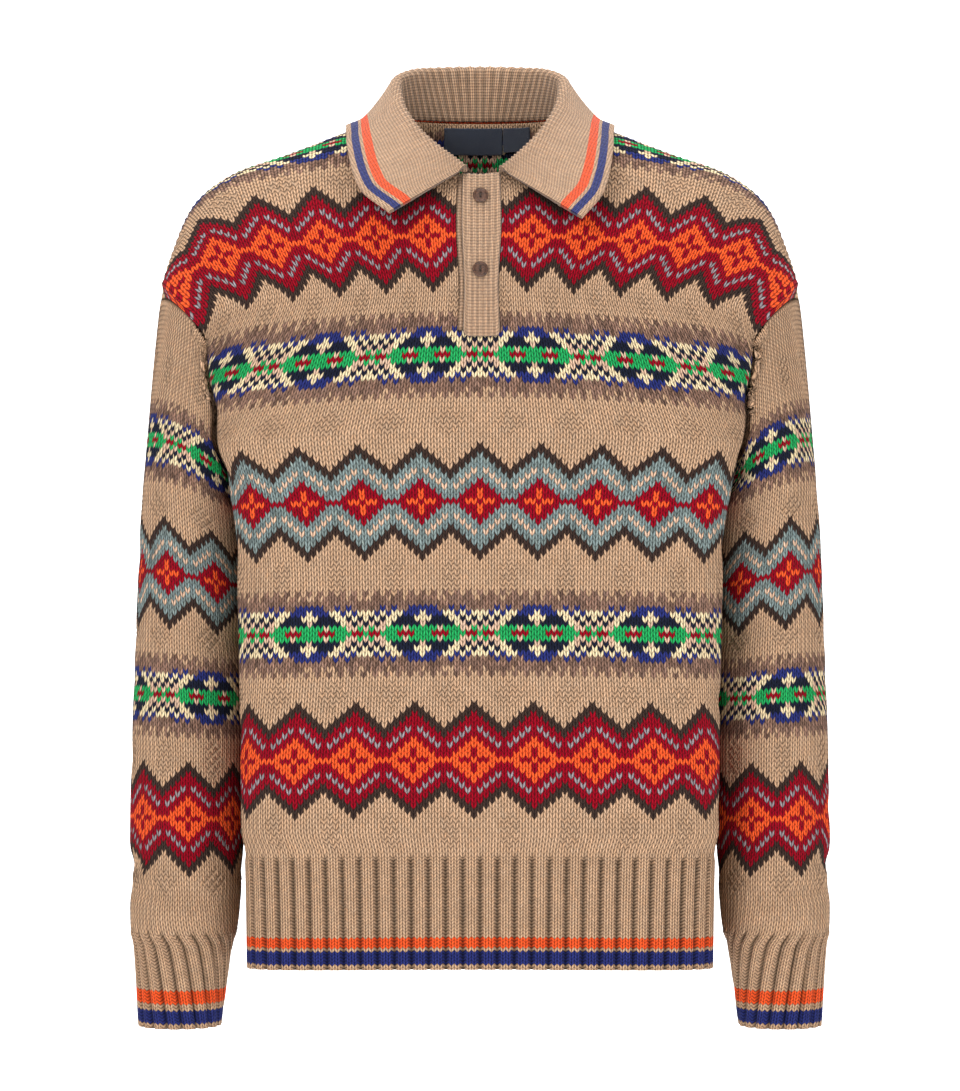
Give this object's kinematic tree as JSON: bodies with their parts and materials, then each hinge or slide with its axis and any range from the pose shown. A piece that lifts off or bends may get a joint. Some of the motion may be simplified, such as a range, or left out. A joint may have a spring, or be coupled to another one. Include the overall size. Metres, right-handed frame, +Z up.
{
  "type": "fair isle jumper with polo collar",
  "caption": "Worn-form knitted fair isle jumper with a folded polo collar, half placket, drop sleeves, and ribbed cuffs and hem, open at neck, hem and cuffs.",
  "frame": {"origin": "middle of the neck's base, between the two shoulder points, where the wearer's neck comes out", "axes": "+Z up along the body, -Y the garment's front, +X the wearer's left"},
  "size_m": [0.5676, 0.2232, 0.7818],
  "materials": {
    "body_knit": "soft tan wool with fair isle bands",
    "collar_knit": "fine ribbed tan wool",
    "button": "dark brown horn, satin",
    "label": "woven navy"
  },
  "bodies": {
    "root": {"front": "body_knit", "back": "body_knit", "sleeve_left": "body_knit", "sleeve_right": "body_knit", "collar": "collar_knit", "placket_top": "collar_knit", "placket_under": "collar_knit", "button_upper": "button", "button_lower": "button", "neck_label": "label", "size_tab": "label"}
  },
  "joints": []
}
